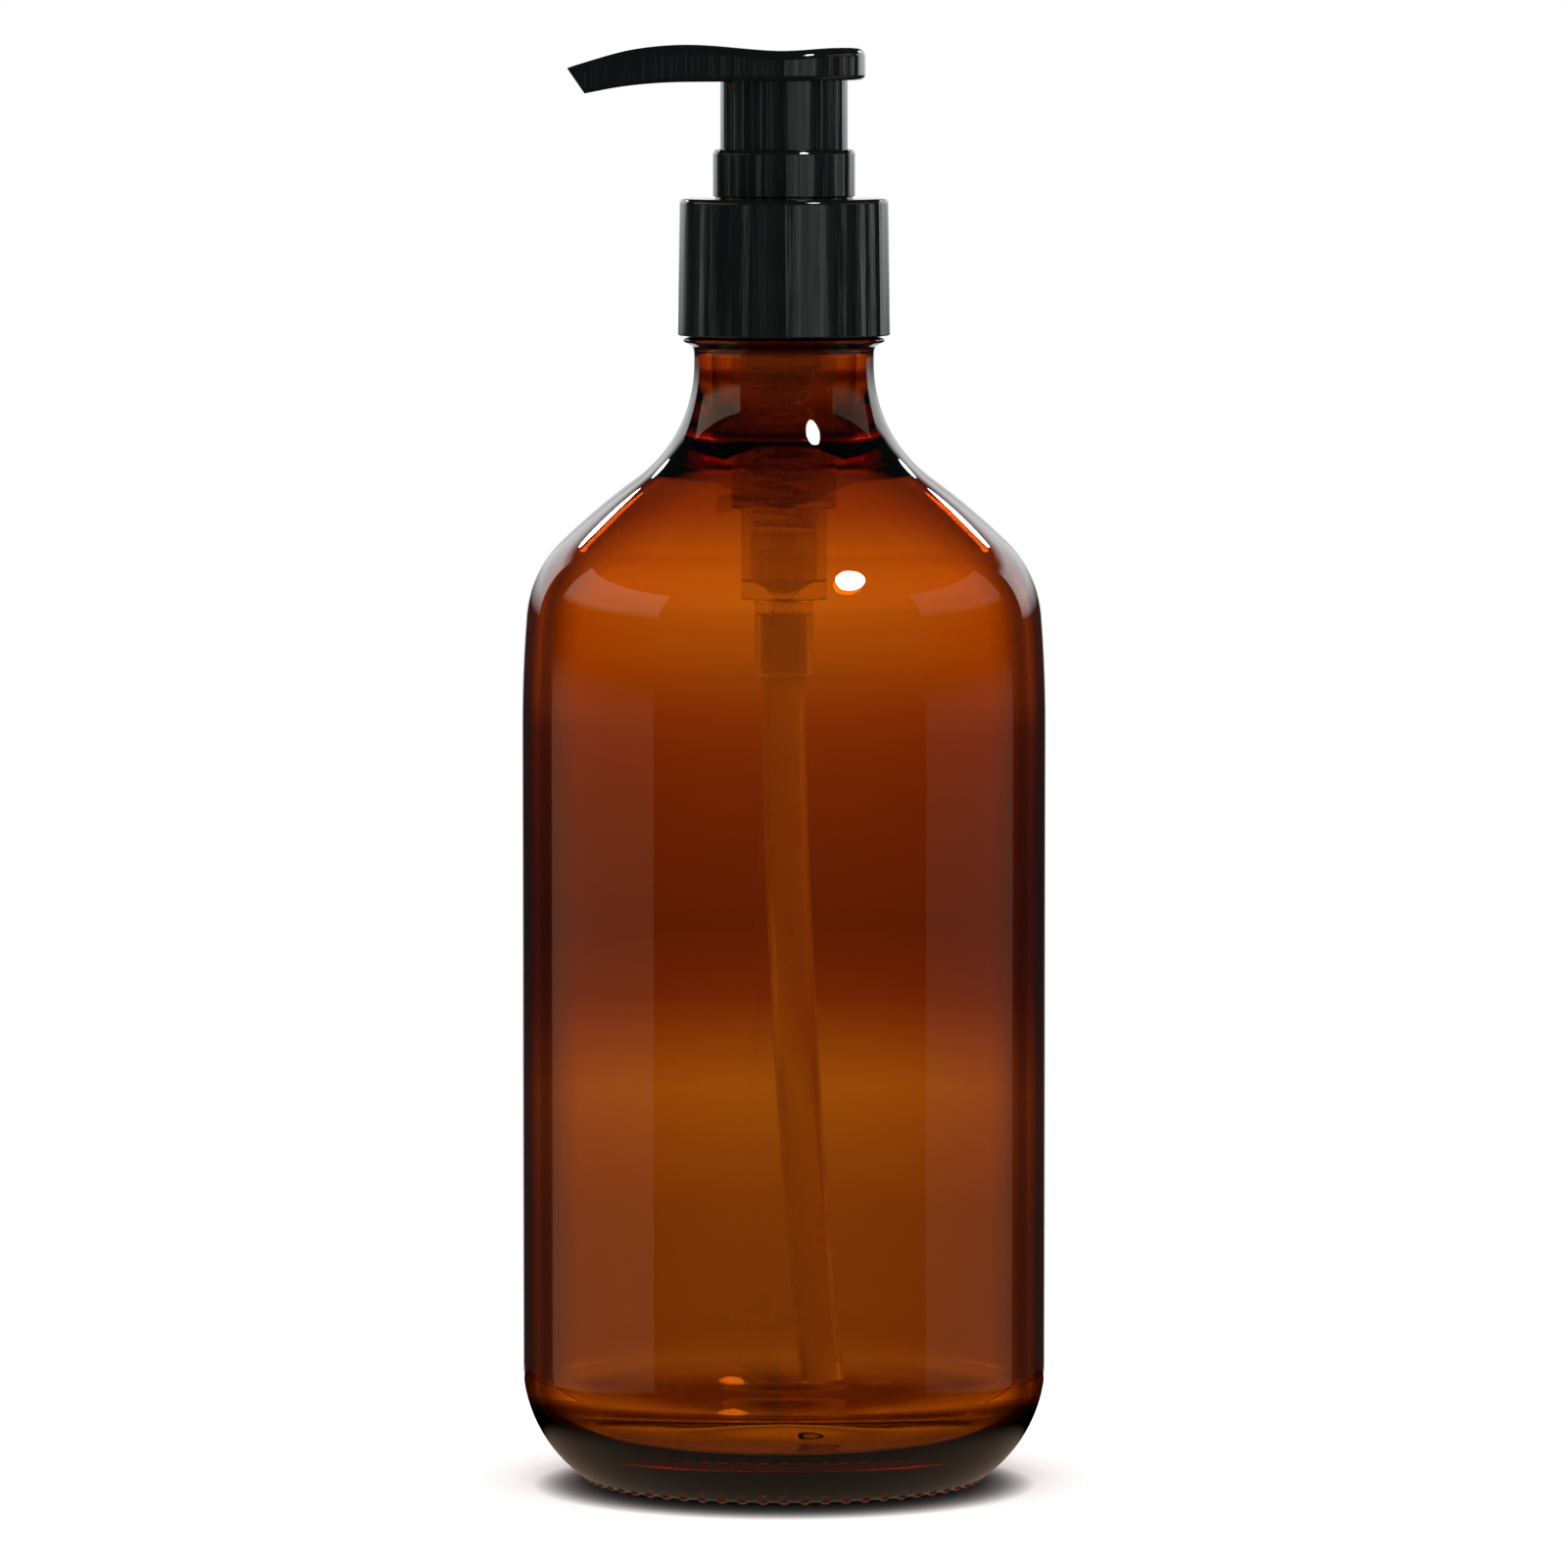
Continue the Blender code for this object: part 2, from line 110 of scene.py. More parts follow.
def filleted(outline, radius=0.25, steps=3, closed=True):
    """The outline with its corners rounded. A short side gets a smaller radius."""
    points = [Vector(p) for p in outline]
    count = len(points)
    rounded = []
    for i, corner in enumerate(points):
        if not closed and i in (0, count - 1):
            rounded.append(tuple(corner))
            continue
        back, ahead = points[i - 1] - corner, points[(i + 1) % count] - corner
        turn = math.pi - back.angle(ahead)
        if turn < math.radians(12):
            rounded.append(tuple(corner))
            continue
        cut = min(radius * math.tan(turn / 2), back.length * 0.42, ahead.length * 0.42)
        start, end = corner + back.normalized() * cut, corner + ahead.normalized() * cut
        for k in range(steps + 1):
            t = k / steps
            point = start * (1 - t) ** 2 + corner * 2 * t * (1 - t) + end * t**2
            rounded.append(tuple(point))
    return rounded


def to_object(name, bm, material):
    bmesh.ops.remove_doubles(bm, verts=bm.verts, dist=1e-7)
    bmesh.ops.recalc_face_normals(bm, faces=bm.faces)
    mesh = bpy.data.meshes.new(name)
    bm.to_mesh(mesh)
    bm.free()
    mesh.shade_smooth()
    mesh.set_sharp_from_angle(angle=math.radians(38))
    if material:
        mesh.materials.append(material)
    obj = bpy.data.objects.new(name, mesh)
    bpy.context.scene.collection.objects.link(obj)
    return obj


def even_shading(obj):
    """Lets the large faces set the shading, so that a rounded edge doesn't bend the flat wall's."""
    modifier = obj.modifiers.new("even_shading", "WEIGHTED_NORMAL")
    modifier.weight = 80
    modifier.keep_sharp = True
    return obj


def turned(name, outline, material, segments=FINE, bulge=None):
    """The outline spun round Z. bulge(angle, r, z) may add to a point's radius, in mm."""
    bm = bmesh.new()
    on_axis = outline[0][0] == 0 and outline[-1][0] == 0
    columns = []
    for i in range(segments):
        angle = math.tau * i / segments
        column = []
        for r, z in outline:
            grown = r + (bulge(angle, r, z) if bulge else 0)
            point = Vector((grown * math.cos(angle), grown * math.sin(angle), z)) * MM
            column.append(bm.verts.new(point))
        columns.append(column)
    length = len(outline)
    for i in range(segments):
        near, far = columns[i], columns[(i + 1) % segments]
        for k in range(length - 1 if on_axis else length):
            m = (k + 1) % length
            bm.faces.new((near[k], near[m], far[m], far[k]))
    return to_object(name, bm, material)


def bridged(bm, rings):
    for near, far in zip(rings, rings[1:]):
        for i in range(len(near)):
            j = (i + 1) % len(near)
            corners = list(dict.fromkeys([near[i], near[j], far[j], far[i]]))
            if len(corners) > 2:
                bm.faces.new(corners)


def sector(name, inner, outer, bottom, top, start, end):
    """A block that fills the angles from start to end, in degrees, of a ring round the Z axis."""
    steps = max(2, round((end - start) / 4))
    bm = bmesh.new()
    rings = []
    for i in range(steps + 1):
        turn = Matrix.Rotation(math.radians(start + (end - start) * i / steps), 3, "Z")
        section = [(inner, bottom), (outer, bottom), (outer, top), (inner, top)]
        rings.append([bm.verts.new(turn @ Vector((r * MM, 0, z * MM))) for r, z in section])
    bridged(bm, rings)
    bm.faces.new(rings[0])
    bm.faces.new(rings[-1])
    return to_object(name, bm, None)


def rod(name, radius, start, end, segments=48, end_radius=None):
    """A round rod, or a cone with end_radius, between two points in mm."""
    start, end = Vector(start) * MM, Vector(end) * MM
    along = end - start
    turn = along.to_track_quat("Z", "Y").to_matrix().to_4x4()
    place = Matrix.Translation((start + end) / 2) @ turn
    bm = bmesh.new()
    bmesh.ops.create_cone(
        bm,
        cap_ends=True,
        segments=segments,
        radius1=radius * MM,
        radius2=(radius if end_radius is None else end_radius) * MM,
        depth=along.length,
        matrix=place,
    )
    return to_object(name, bm, None)


def combine(target, tool, operation):
    """Joins tool to target, or cuts it out, and removes the tool."""
    modifier = target.modifiers.new(tool.name, "BOOLEAN")
    modifier.operation = operation
    modifier.object = tool
    with bpy.context.temp_override(object=target, active_object=target):
        bpy.ops.object.modifier_apply(modifier=modifier.name)
    bpy.data.objects.remove(tool)


def smooth_line(points, x):
    """Height at x of the smooth curve through points, which are in order of x."""
    index = max(1, next((i for i, p in enumerate(points) if p[0] >= x), len(points) - 1))

    def slope(i):
        low, high = points[max(0, i - 1)], points[min(len(points) - 1, i + 1)]
        return (high[1] - low[1]) / (high[0] - low[0])

    (x0, z0), (x1, z1) = points[index - 1], points[index]
    t = (x - x0) / (x1 - x0)
    rise = (x1 - x0) * (t * (1 - t) ** 2 * slope(index - 1) - t * t * (1 - t) * slope(index))
    return z0 + (z1 - z0) * t * t * (3 - 2 * t) + rise


def thread_height(angle, z, start_z, turns, height, base_width, crest_width):
    """How far a right-hand thread stands out of its wall, at an angle in radians and a height in mm."""
    best = 0.0
    fade = 0.1
    first = angle / math.tau
    for whole in range(-1, math.ceil(turns) + 1):
        turn = first + whole
        if not 0 <= turn <= turns:
            continue
        off = abs(z - start_z - PITCH * turn)
        flank = (base_width - crest_width) / 2
        full = min(1.0, turn / fade, (turns - turn) / fade)
        best = max(best, height * full * min(1.0, max(0.0, (base_width / 2 - off) / flank)))
    return best


# ---------------------------------------------------------------- materials


def fill(color_ramp, stops):
    while len(color_ramp.elements) < len(stops):
        color_ramp.elements.new(0.5)
    for element, (position, colour) in zip(color_ramp.elements, stops):
        element.position = position
        element.color = (*colour, 1)


class Nodes:
    """A material's node tree, with short calls to add and link its nodes."""

    def __init__(self, name):
        self.material = bpy.data.materials.new(name)
        self.material.use_nodes = True
        self.tree = self.material.node_tree
        self.shader = self.tree.nodes["Principled BSDF"]
        self.output = self.tree.nodes["Material Output"]

    def set(self, **values):
        for key, value in values.items():
            socket = self.shader.inputs[key.replace("_", " ")]
            socket.default_value = value
        return self

    def add(self, kind, values=None, **settings):
        node = self.tree.nodes.new(kind)
        for key, value in settings.items():
            setattr(node, key, value)
        for key, value in (values or {}).items():
            node.inputs[key].default_value = value
        return node

    def link(self, source, target):
        self.tree.links.new(source, target)

    def coordinates(self, scale=(1, 1, 1)):
        """Object coordinates in metres times scale."""
        place = self.add("ShaderNodeTexCoord")
        mapping = self.add("ShaderNodeMapping", {"Scale": scale})
        self.link(place.outputs["Object"], mapping.inputs["Vector"])
        return mapping.outputs["Vector"]

    def noise(self, scale, detail=2.0, stretch=(1, 1, 1), roughness=0.5):
        node = self.add(
            "ShaderNodeTexNoise", {"Scale": scale, "Detail": detail, "Roughness": roughness}
        )
        self.link(self.coordinates(stretch), node.inputs["Vector"])
        return node.outputs["Fac"]

    def spread(self, source, low, high, from_low=0.3, from_high=0.7):
        node = self.add(
            "ShaderNodeMapRange",
            {"From Min": from_low, "From Max": from_high, "To Min": low, "To Max": high},
        )
        self.link(source, node.inputs["Value"])
        return node.outputs["Result"]

    def ramp(self, source, stops):
        """A colour for each value of source, from (value, colour) stops in rising order."""
        node = self.add("ShaderNodeValToRGB")
        fill(node.color_ramp, stops)
        self.link(source, node.inputs["Fac"])
        return node.outputs["Color"]

    def multiplied(self, first, second, share=None):
        """One colour times another, wholly or by the share."""
        node = self.add("ShaderNodeMix", data_type="RGBA", blend_type="MULTIPLY")
        node.inputs["Factor"].default_value = 1.0
        if share:
            self.link(share, node.inputs["Factor"])
        self.link(first, node.inputs["A"])
        self.link(second, node.inputs["B"])
        return node.outputs["Result"]

    def bump(self, height, strength, distance):
        node = self.add("ShaderNodeBump", {"Strength": strength, "Distance": distance})
        self.link(height, node.inputs["Height"])
        self.link(node.outputs["Normal"], self.shader.inputs["Normal"])


def amber_glass():
    """Clear amber glass. The colour is in the volume, so that thick glass is darker. Its base colour
    carries painted shade: it dims more where the wall is seen edge on, up the shoulder, in the middle
    of the base, and at the neck's root, whose inner corner is painted nearly black. These tints are
    chosen to look right, not measured."""
    m = Nodes("amber_glass")
    m.set(Roughness=0.0, IOR=1.52, Transmission_Weight=1.0)
    # Painted shade: the glass's colour darkens where the wall is seen edge on.
    edge = m.add("ShaderNodeLayerWeight", {"Blend": 0.5})
    painted_edge_shade = m.ramp(
        edge.outputs["Facing"],
        [
            (0.46, (1, 1, 1)),
            (0.52, (0.72, 0.66, 0.6)),
            (0.60, (0.42, 0.36, 0.34)),
            (0.66, (0.22, 0.18, 0.17)),
            (0.74, (0.03, 0.025, 0.025)),
        ],
    )
    place = m.add("ShaderNodeTexCoord")
    parts = m.add("ShaderNodeSeparateXYZ")
    m.link(place.outputs["Object"], parts.inputs["Vector"])
    height = m.add("ShaderNodeMath", {1: 200 * MM}, operation="DIVIDE")
    m.link(parts.outputs["Z"], height.inputs[0])
    # Painted shade: the shoulder's colour darkens by height, though its wall is the same.
    shoulder = [
        (131, (1, 1, 1)),
        (135, (0.91, 0.93, 1)),
        (140, (0.70, 0.58, 0.95)),
        (146, (0.54, 0.45, 0.9)),
        (152, (0.70, 0.60, 0.85)),
        (162, (0.75, 0.62, 0.85)),
    ]
    painted_shoulder_shade = m.ramp(height.outputs["Value"], [(z / 200, colour) for z, colour in shoulder])
    # Painted shade: a nearly black ring, set by height, inside the neck's root.
    clear, black = (1, 1, 1), (0.0005, 0.0003, 0.0003)
    root = [(146.8, clear), (147.5, black), (149.5, black), (150.4, clear)]
    corner = m.ramp(height.outputs["Value"], [(z / 200, colour) for z, colour in root])
    flat = m.add("ShaderNodeVectorMath", {1: (1, 1, 0)}, operation="MULTIPLY")
    m.link(place.outputs["Object"], flat.inputs[0])
    radius = m.add("ShaderNodeVectorMath", operation="LENGTH")
    m.link(flat.outputs["Vector"], radius.inputs[0])
    inner = m.add("ShaderNodeMath", {1: 13.5 * MM}, operation="LESS_THAN")
    m.link(radius.outputs["Value"], inner.inputs[0])
    base = m.add("ShaderNodeMath", {1: 10 * MM}, operation="LESS_THAN")
    m.link(parts.outputs["Z"], base.inputs[0])
    outward = m.add("ShaderNodeMath", {1: 20 * MM}, operation="DIVIDE")
    m.link(radius.outputs["Value"], outward.inputs[0])
    # Painted shade: the middle of the base is tinted darker.
    painted_base_shade = m.ramp(outward.outputs["Value"], [(0.80, (0.30, 0.22, 0.3)), (0.86, clear)])
    # All the painted shade is multiplied into the glass's base colour.
    painted_shade_tint = m.multiplied(m.multiplied(painted_edge_shade, painted_shoulder_shade), corner, inner.outputs["Value"])
    painted_shade_tint = m.multiplied(painted_shade_tint, painted_base_shade, base.outputs["Value"])
    m.link(painted_shade_tint, m.shader.inputs["Base Color"])
    m.bump(m.noise(55, 1.0, (1, 1, 0.35)), 0.12, 0.0004)
    volume = m.add(
        "ShaderNodeVolumeAbsorption", {"Color": (0.886, 0.584, 0.0, 1), "Density": 1010.0}
    )
    m.link(volume.outputs["Volume"], m.output.inputs["Volume"])
    return m.material


def black_plastic():
    """Glossy black polypropylene, with the faint upright flow lines of its mould."""
    m = Nodes("black_plastic")
    m.set(Base_Color=(0.0036, 0.0042, 0.0044, 1), IOR=1.49)
    m.link(m.spread(m.noise(260, 3), 0.03, 0.07), m.shader.inputs["Roughness"])
    m.bump(m.noise(900, 3, (1, 1, 0.008)), 0.6, 0.00009)
    return m.material


def natural_plastic():
    """Unpigmented polypropylene: nearly clear, a little milky."""
    m = Nodes("natural_plastic")
    m.set(Base_Color=(0.95, 0.94, 0.91, 1), IOR=1.49, Transmission_Weight=0.8)
    m.link(m.spread(m.noise(180, 3), 0.02, 0.06), m.shader.inputs["Roughness"])
    m.bump(m.noise(300, 2, (1, 1, 0.1)), 0.04, 0.00005)
    return m.material


def white_seal():
    m = Nodes("white_seal")
    m.link(m.spread(m.noise(900, 4), 0.55, 0.75), m.shader.inputs["Roughness"])
    m.set(Base_Color=(0.72, 0.71, 0.68, 1))
    m.bump(m.noise(2500, 3), 0.3, 0.00005)
    return m.material


def steel():
    m = Nodes("steel")
    m.set(Base_Color=(0.56, 0.56, 0.57, 1), Metallic=1.0)
    m.link(m.spread(m.noise(1500, 3, (1, 1, 0.2)), 0.18, 0.34), m.shader.inputs["Roughness"])
    return m.material


GLASS = amber_glass()
BLACK = black_plastic()
CLEAR = natural_plastic()
SEAL = white_seal()
STEEL = steel()


def shown(piece, body, node):
    """The piece stands for a CAD node, which it hides, on that node's body."""
    even_shading(piece)
    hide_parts(node)
    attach(piece, body)
    return piece


# ---------------------------------------------------------------- glass bottle


def bottle():
    heel_r = 20.0
    heel = (BODY_R - heel_r, 17.0)
    heel_start = -math.degrees(math.asin((heel[1] - RING_LIFT) / heel_r))
    shoulder, shoulder_r = (20.41, 122.68), 16.5
    neck_arc, neck_arc_r = (32.87, 159.8), 20.0
    side, side_r = (BODY_R - 200.0, 108.0), 200.0
    crown, crown_r = (-37.8, 62.82), 100.0
    shoulder_start, crown_start, crown_end = 4.59, 45.8, 53.92
    inner_heel_r = 8.0
    inner_heel = (BODY_R - WALL - inner_heel_r, 6.0 + inner_heel_r)
    push_up_r, push_up_edge, push_up_rise, push_up_steps = 21.5, 1.2, 3.6, 12
    push_up = []
    for i in range(push_up_steps + 1):
        t = i / push_up_steps
        push_up.append((push_up_r * t, push_up_edge + push_up_rise * math.cos(math.pi / 2 * t) ** 1.5))
    finish_top = LIP_Z - 0.6
    finish_rows = 56
    bead_top = 163.6
    finish = [
        (FINISH_R, bead_top + 0.25 + (finish_top - bead_top - 0.25) * i / finish_rows)
        for i in range(finish_rows + 1)
    ]
    heel_out = heel[0] + heel_r * math.cos(math.radians(heel_start))
    bearing_ring = [(22.0, 1.1), (23.4, 0.7), (24.8, RING_LIFT), (heel_out - 0.8, RING_LIFT)]
    bead = [(13.6, 162.55), (14.4, 163.0), (14.4, 163.5), (13.9, bead_top), (FINISH_R, bead_top)]
    outside = (
        push_up
        + filleted(bearing_ring, 1.0, 4, False)
        + arc(heel, heel_r, heel_start, 0, 22)
        + [(BODY_R, z) for z in (30, 50, 70, 90)]
        + arc(side, side_r, 0, shoulder_start, 6)
        + arc(shoulder, shoulder_r, shoulder_start, crown_start, 22)[1:]
        + arc(crown, crown_r, crown_start, crown_end, 8)[1:]
        + arc(neck_arc, neck_arc_r, 180 + crown_end, 180, 24)[1:]
        + [(NECK_R, 160.8)]
        + arc((NECK_R + 1.6, 161.3), 1.6, 180, 130, 4)
        + filleted(bead, 0.35, 4, False)[1:-1]
        + finish
        + arc((FINISH_R - 0.6, finish_top), 0.6, 0, 90, 4)[1:]
    )
    root_start = arc(crown, crown_r - WALL, crown_end, crown_end, 1)[0]
    root_z = root_start[1] + (root_start[0] - BORE_R) / math.tan(math.radians(crown_end))
    bore = [(BORE_R, z) for z in (174.0, 171.0, 168.0, 165.0, 162.0, 158.0)]
    neck_root = filleted([bore[-1], (BORE_R, root_z), root_start], 2.5, 10, False)
    dome_r, dome_edge, dome_rise, dome_steps = 19.0, 6.2, 2.4, 10
    dome = []
    for i in range(dome_steps, -1, -1):
        t = i / dome_steps
        dome.append((dome_r * t, dome_edge + dome_rise * math.cos(math.pi / 2 * t) ** 2))
    inside = (
        arc((BORE_R + 0.5, LIP_Z - 0.5), 0.5, 90, 180, 4)
        + bore[:-1]
        + neck_root[:-1]
        + arc(crown, crown_r - WALL, crown_end, crown_start, 8)
        + arc(shoulder, shoulder_r - WALL, crown_start, shoulder_start, 22)[1:]
        + arc(side, side_r - WALL, shoulder_start, 0, 6)[1:]
        + [(BODY_R - WALL, z) for z in (90, 70, 50, 30, 18)]
        + arc(inner_heel, inner_heel_r, 0, -90, 14)
        + dome
    )

    def bulge(angle, r, z):
        if abs(r - FINISH_R) < 1e-6 and z > bead_top:
            height = THREAD_R - FINISH_R
            return thread_height(angle, z, BOTTLE_THREAD_Z, 1.5, height, 2.3, 1.0)
        return 0.0

    return turned("glass_bottle", outside + inside, GLASS, TURNS, bulge)


def stipples():
    """The row of small bumps that the bottle stands on, moulded round its bearing ring."""
    count, ring_r, bump_r = 60, 28.1, 1.1
    bm = bmesh.new()
    for i in range(count):
        angle = math.tau * i / count
        centre = Vector((ring_r * math.cos(angle), ring_r * math.sin(angle), bump_r)) * MM
        place = Matrix.Translation(centre)
        bmesh.ops.create_uvsphere(bm, u_segments=16, v_segments=10, radius=bump_r * MM, matrix=place)
    return to_object("base_stipples", bm, GLASS)


# ---------------------------------------------------------------- pump


def collar():
    hole = 9.9
    top_r = 14.9
    fillet = 0.7
    wall_rows = 60
    inner_top = COLLAR_TOP - 1.2
    low = COLLAR_BOTTOM + 0.4
    inner_wall = [
        (COLLAR_IN_R, low + (inner_top - 0.3 - low) * i / wall_rows) for i in range(wall_rows + 1)
    ]
    outline = (
        arc((hole + 0.25, COLLAR_TOP - 0.25), 0.25, 180, 90, 3)
        + arc((top_r - fillet, COLLAR_TOP - fillet), fillet, 90, 2, 8)
        + arc((COLLAR_R - 0.25, COLLAR_BOTTOM + 0.25), 0.25, 0, -90, 4)
        + [(COLLAR_IN_R + 0.3, COLLAR_BOTTOM)]
        + inner_wall
        + [(COLLAR_IN_R - 0.3, inner_top), (hole, inner_top)]
    )

    def bulge(angle, r, z):
        if abs(r - COLLAR_IN_R) < 1e-6:
            turned_angle = (angle - math.radians(15)) % math.tau
            start = BOTTLE_THREAD_Z - 1.45 + PITCH * 15 / 360
            return -thread_height(turned_angle, z, start, 1.25, COLLAR_IN_R - 12.95, 1.6, 0.7)
        return 0.0

    return turned("screw_collar", outline, BLACK, 160, bulge)


def chaplet():
    floor = 179.3
    outline = filleted(
        [
            (9.25, RING_TOP - 0.25),
            (9.4, RING_TOP),
            (9.85, RING_TOP - 0.05),
            (10.15, RING_TOP - 0.6),
            (10.15, COLLAR_TOP + 0.3),
            (9.8, COLLAR_TOP + 0.3),
            (9.8, 180.0),
            (10.3, 179.8),
            (10.3, 179.3),
            (9.8, 179.1),
            (9.8, 178.1),
            (CYLINDER_R - 0.15, 178.1),
            (CYLINDER_R - 0.15, CHAPLET_BOTTOM),
            (STEM_R + 0.25, CHAPLET_BOTTOM),
            (STEM_R + 0.25, 182.5),
            (5.3, 182.5),
            (5.3, 184.0),
            (6.5, 184.0),
            (6.5, floor),
            (9.25, floor),
        ],
        0.3,
    )
    piece = turned("lock_ring", outline, BLACK, 128)
    for side, start in (("a", 99.5), ("b", 279.5)):
        stop = sector(f"stop_{side}", 6.0, 7.6, floor - 0.5, 184.0, start, start + 71)
        combine(piece, stop, "UNION")
    return piece


def housing():
    socket_top = 124.6
    seat_z = 128.0
    outline = filleted(
        [
            (11.6, RIM_TOP),
            (11.6, 177.8),
            (FLANGE_R, 177.8),
            (FLANGE_R, 176.6),
            (7.55, 176.6),
            (7.55, 138.7),
            (6.15, 138.7),
            (6.15, 126.6),
            (4.2, 126.6),
            (4.2, SOCKET_BOTTOM),
            (TUBE_R + 0.15, SOCKET_BOTTOM),
            (TUBE_R + 0.15, socket_top),
            (1.5, socket_top),
            (1.5, seat_z),
            (2.9, 129.4),
            (4.9, 129.4),
            (4.9, 140.1),
            (CYLINDER_R, 140.1),
            (CYLINDER_R, 177.8),
            (10.1, 177.8),
            (10.1, 178.8),
            (10.5, 179.0),
            (10.5, 180.1),
            (10.1, 180.3),
            (10.1, RIM_TOP),
        ],
        0.55,
        4,
    )
    piece = turned("pump_housing", outline, CLEAR)
    combine(piece, rod("vent", 0.8, (0, 5.0, 171.0), (0, 9.0, 171.0), 24), "DIFFERENCE")
    return piece


def stem():
    outline = filleted(
        [
            (STEM_R, STEM_TOP),
            (STEM_R, 172.7),
            (5.0, 172.7),
            (5.0, 171.4),
            (STEM_R, 171.4),
            (STEM_R, STEM_BOTTOM),
            (STEM_BORE_R, STEM_BOTTOM),
            (STEM_BORE_R, STEM_TOP),
        ],
        0.3,
    )
    piece = turned("pump_stem", outline, BLACK, 64)
    combine(piece, rod("ports", 0.7, (0, -5.0, 163.2), (0, 5.0, 163.2), 20), "DIFFERENCE")
    return piece


def piston():
    lip, waist, sleeve = PISTON_R, 5.6, 4.5
    outline = [
        (lip, PISTON_TOP),
        (lip, 168.6),
        (waist, 167.0),
        (waist, 164.2),
        (lip, 162.6),
        (lip, PISTON_BOTTOM),
        (5.5, PISTON_BOTTOM),
        (5.0, 163.0),
        (sleeve, 163.0),
        (sleeve, PISTON_BOTTOM),
        (STEM_R + 0.15, PISTON_BOTTOM),
        (STEM_R + 0.15, 169.2),
        (sleeve, 169.2),
        (sleeve, 167.8),
        (5.0, 167.8),
        (5.5, PISTON_TOP),
    ]
    return turned("pump_piston", filleted(outline, 0.3), CLEAR, 64)


def valve_rod():
    spigot = STEM_BORE_R - 0.2
    outline = [
        (0, ROD_TOP),
        (spigot - 0.35, ROD_TOP),
        (spigot, ROD_TOP - 0.6),
        (spigot, 161.3),
        (5.4, 161.3),
        (5.4, 159.6),
        (4.9, 159.0),
        (3.3, 159.0),
        (3.3, ROD_BOTTOM + 0.6),
        (2.8, ROD_BOTTOM),
        (0, ROD_BOTTOM),
    ]
    return turned("pump_valve_rod", filleted(outline, 0.25, 3, False), CLEAR, 64)


def spring_seat():
    outline = [
        (SEAT_R, SEAT_TOP),
        (SEAT_R, SEAT_BOTTOM),
        (2.9, SEAT_BOTTOM),
        (2.9, 133.0),
        (1.3, 133.0),
        (1.3, SEAT_TOP),
    ]
    return turned("ball_retainer", filleted(outline, 0.3), CLEAR, 64)


def ring(name, node, inner, outer, material):
    _, bottom, top = node_box(node)
    outline = [(outer, top), (outer, bottom), (inner, bottom), (inner, top)]
    return turned(name, filleted(outline, 0.2), material, 64)


def spring():
    """The return spring, its end coils closed and lying flat."""
    wire, mean, coils, steps, sides = 0.45, 4.1, 8, 40, 12
    low, high = SPRING_BOTTOM + wire, SPRING_TOP - wire
    closed = wire * 2.1
    open_rise = (high - low - 2 * closed) / (coils - 2)
    bm = bmesh.new()
    rings = []
    for i in range(coils * steps + 1):
        turn = i / steps
        rise = closed * min(turn, 1) + open_rise * min(max(turn - 1, 0), coils - 2)
        rise += closed * max(0, turn - coils + 1)
        angle = math.tau * turn
        out = Vector((math.cos(angle), math.sin(angle), 0))
        centre = out * mean + Vector((0, 0, low + rise))
        loop = []
        for k in range(sides):
            a = math.tau * k / sides
            off = out * math.cos(a) + Vector((0, 0, math.sin(a)))
            loop.append(bm.verts.new((centre + off * wire) * MM))
        rings.append(loop)
    bridged(bm, rings)
    bm.faces.new(rings[0])
    bm.faces.new(rings[-1])
    return to_object("return_spring", bm, STEEL)


def dip_tube():
    """The tube, which bows slowly towards +X, with its foot cut at a slant."""
    straight, sides, steps = 115.0, 40, 48
    slant = math.tan(math.radians(25))
    foot = 14.2

    def place(z):
        depth = max(0.0, straight - z) / (straight - foot)
        return Vector((TUBE_BOW * depth**1.8, 0, z))

    heights = [TUBE_TOP] + [straight + (foot - straight) * i / steps for i in range(steps + 1)]
    bm = bmesh.new()
    walls = []
    for radius in (TUBE_R, TUBE_BORE_R):
        rings = []
        for z in heights:
            along = (place(z - 1) - place(z + 1)).normalized()
            side = Vector((0, 1, 0))
            across = side.cross(along)
            loop = []
            for k in range(sides):
                angle = math.tau * k / sides
                offset = (across * math.cos(angle) + side * math.sin(angle)) * radius
                cut = along * (slant * offset.y if z == foot else 0)
                loop.append(bm.verts.new((place(z) + offset + cut) * MM))
            rings.append(loop)
        bridged(bm, rings)
        walls.append(rings)
    outer, inner = walls
    bridged(bm, [outer[0], inner[0]])
    bridged(bm, [outer[-1], inner[-1]])
    return to_object("suction_tube", bm, CLEAR)


def inlet_ball():
    bm = bmesh.new()
    low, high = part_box("inlet_ball")
    place = Matrix.Translation((low + high) / 2)
    radius = (high.z - low.z) / 2
    bmesh.ops.create_uvsphere(bm, u_segments=48, v_segments=24, radius=radius, matrix=place)
    return to_object("valve_ball", bm, STEEL)


def head_outline(reach):
    """Points round the head as seen from above, in mm, each with the point of its middle line."""
    slope = math.radians(15.13)
    tangent = 90 + math.degrees(slope)
    round_part = [((x, y), (0.0, 0.0)) for x, y in arc((0, 0), HEAD_R, -tangent, tangent, 84)]
    x0 = -HEAD_R * math.sin(slope)
    steps = 30
    side = []
    for i in range(1, steps + 1):
        x = x0 + (reach - x0) * i / steps
        y = (HEAD_R + x * math.sin(slope)) / math.cos(slope)
        side.append(((x, y), (x, 0.0)))
    mirrored = [((x, -y), middle) for (x, y), middle in reversed(side)]
    return round_part + side + mirrored


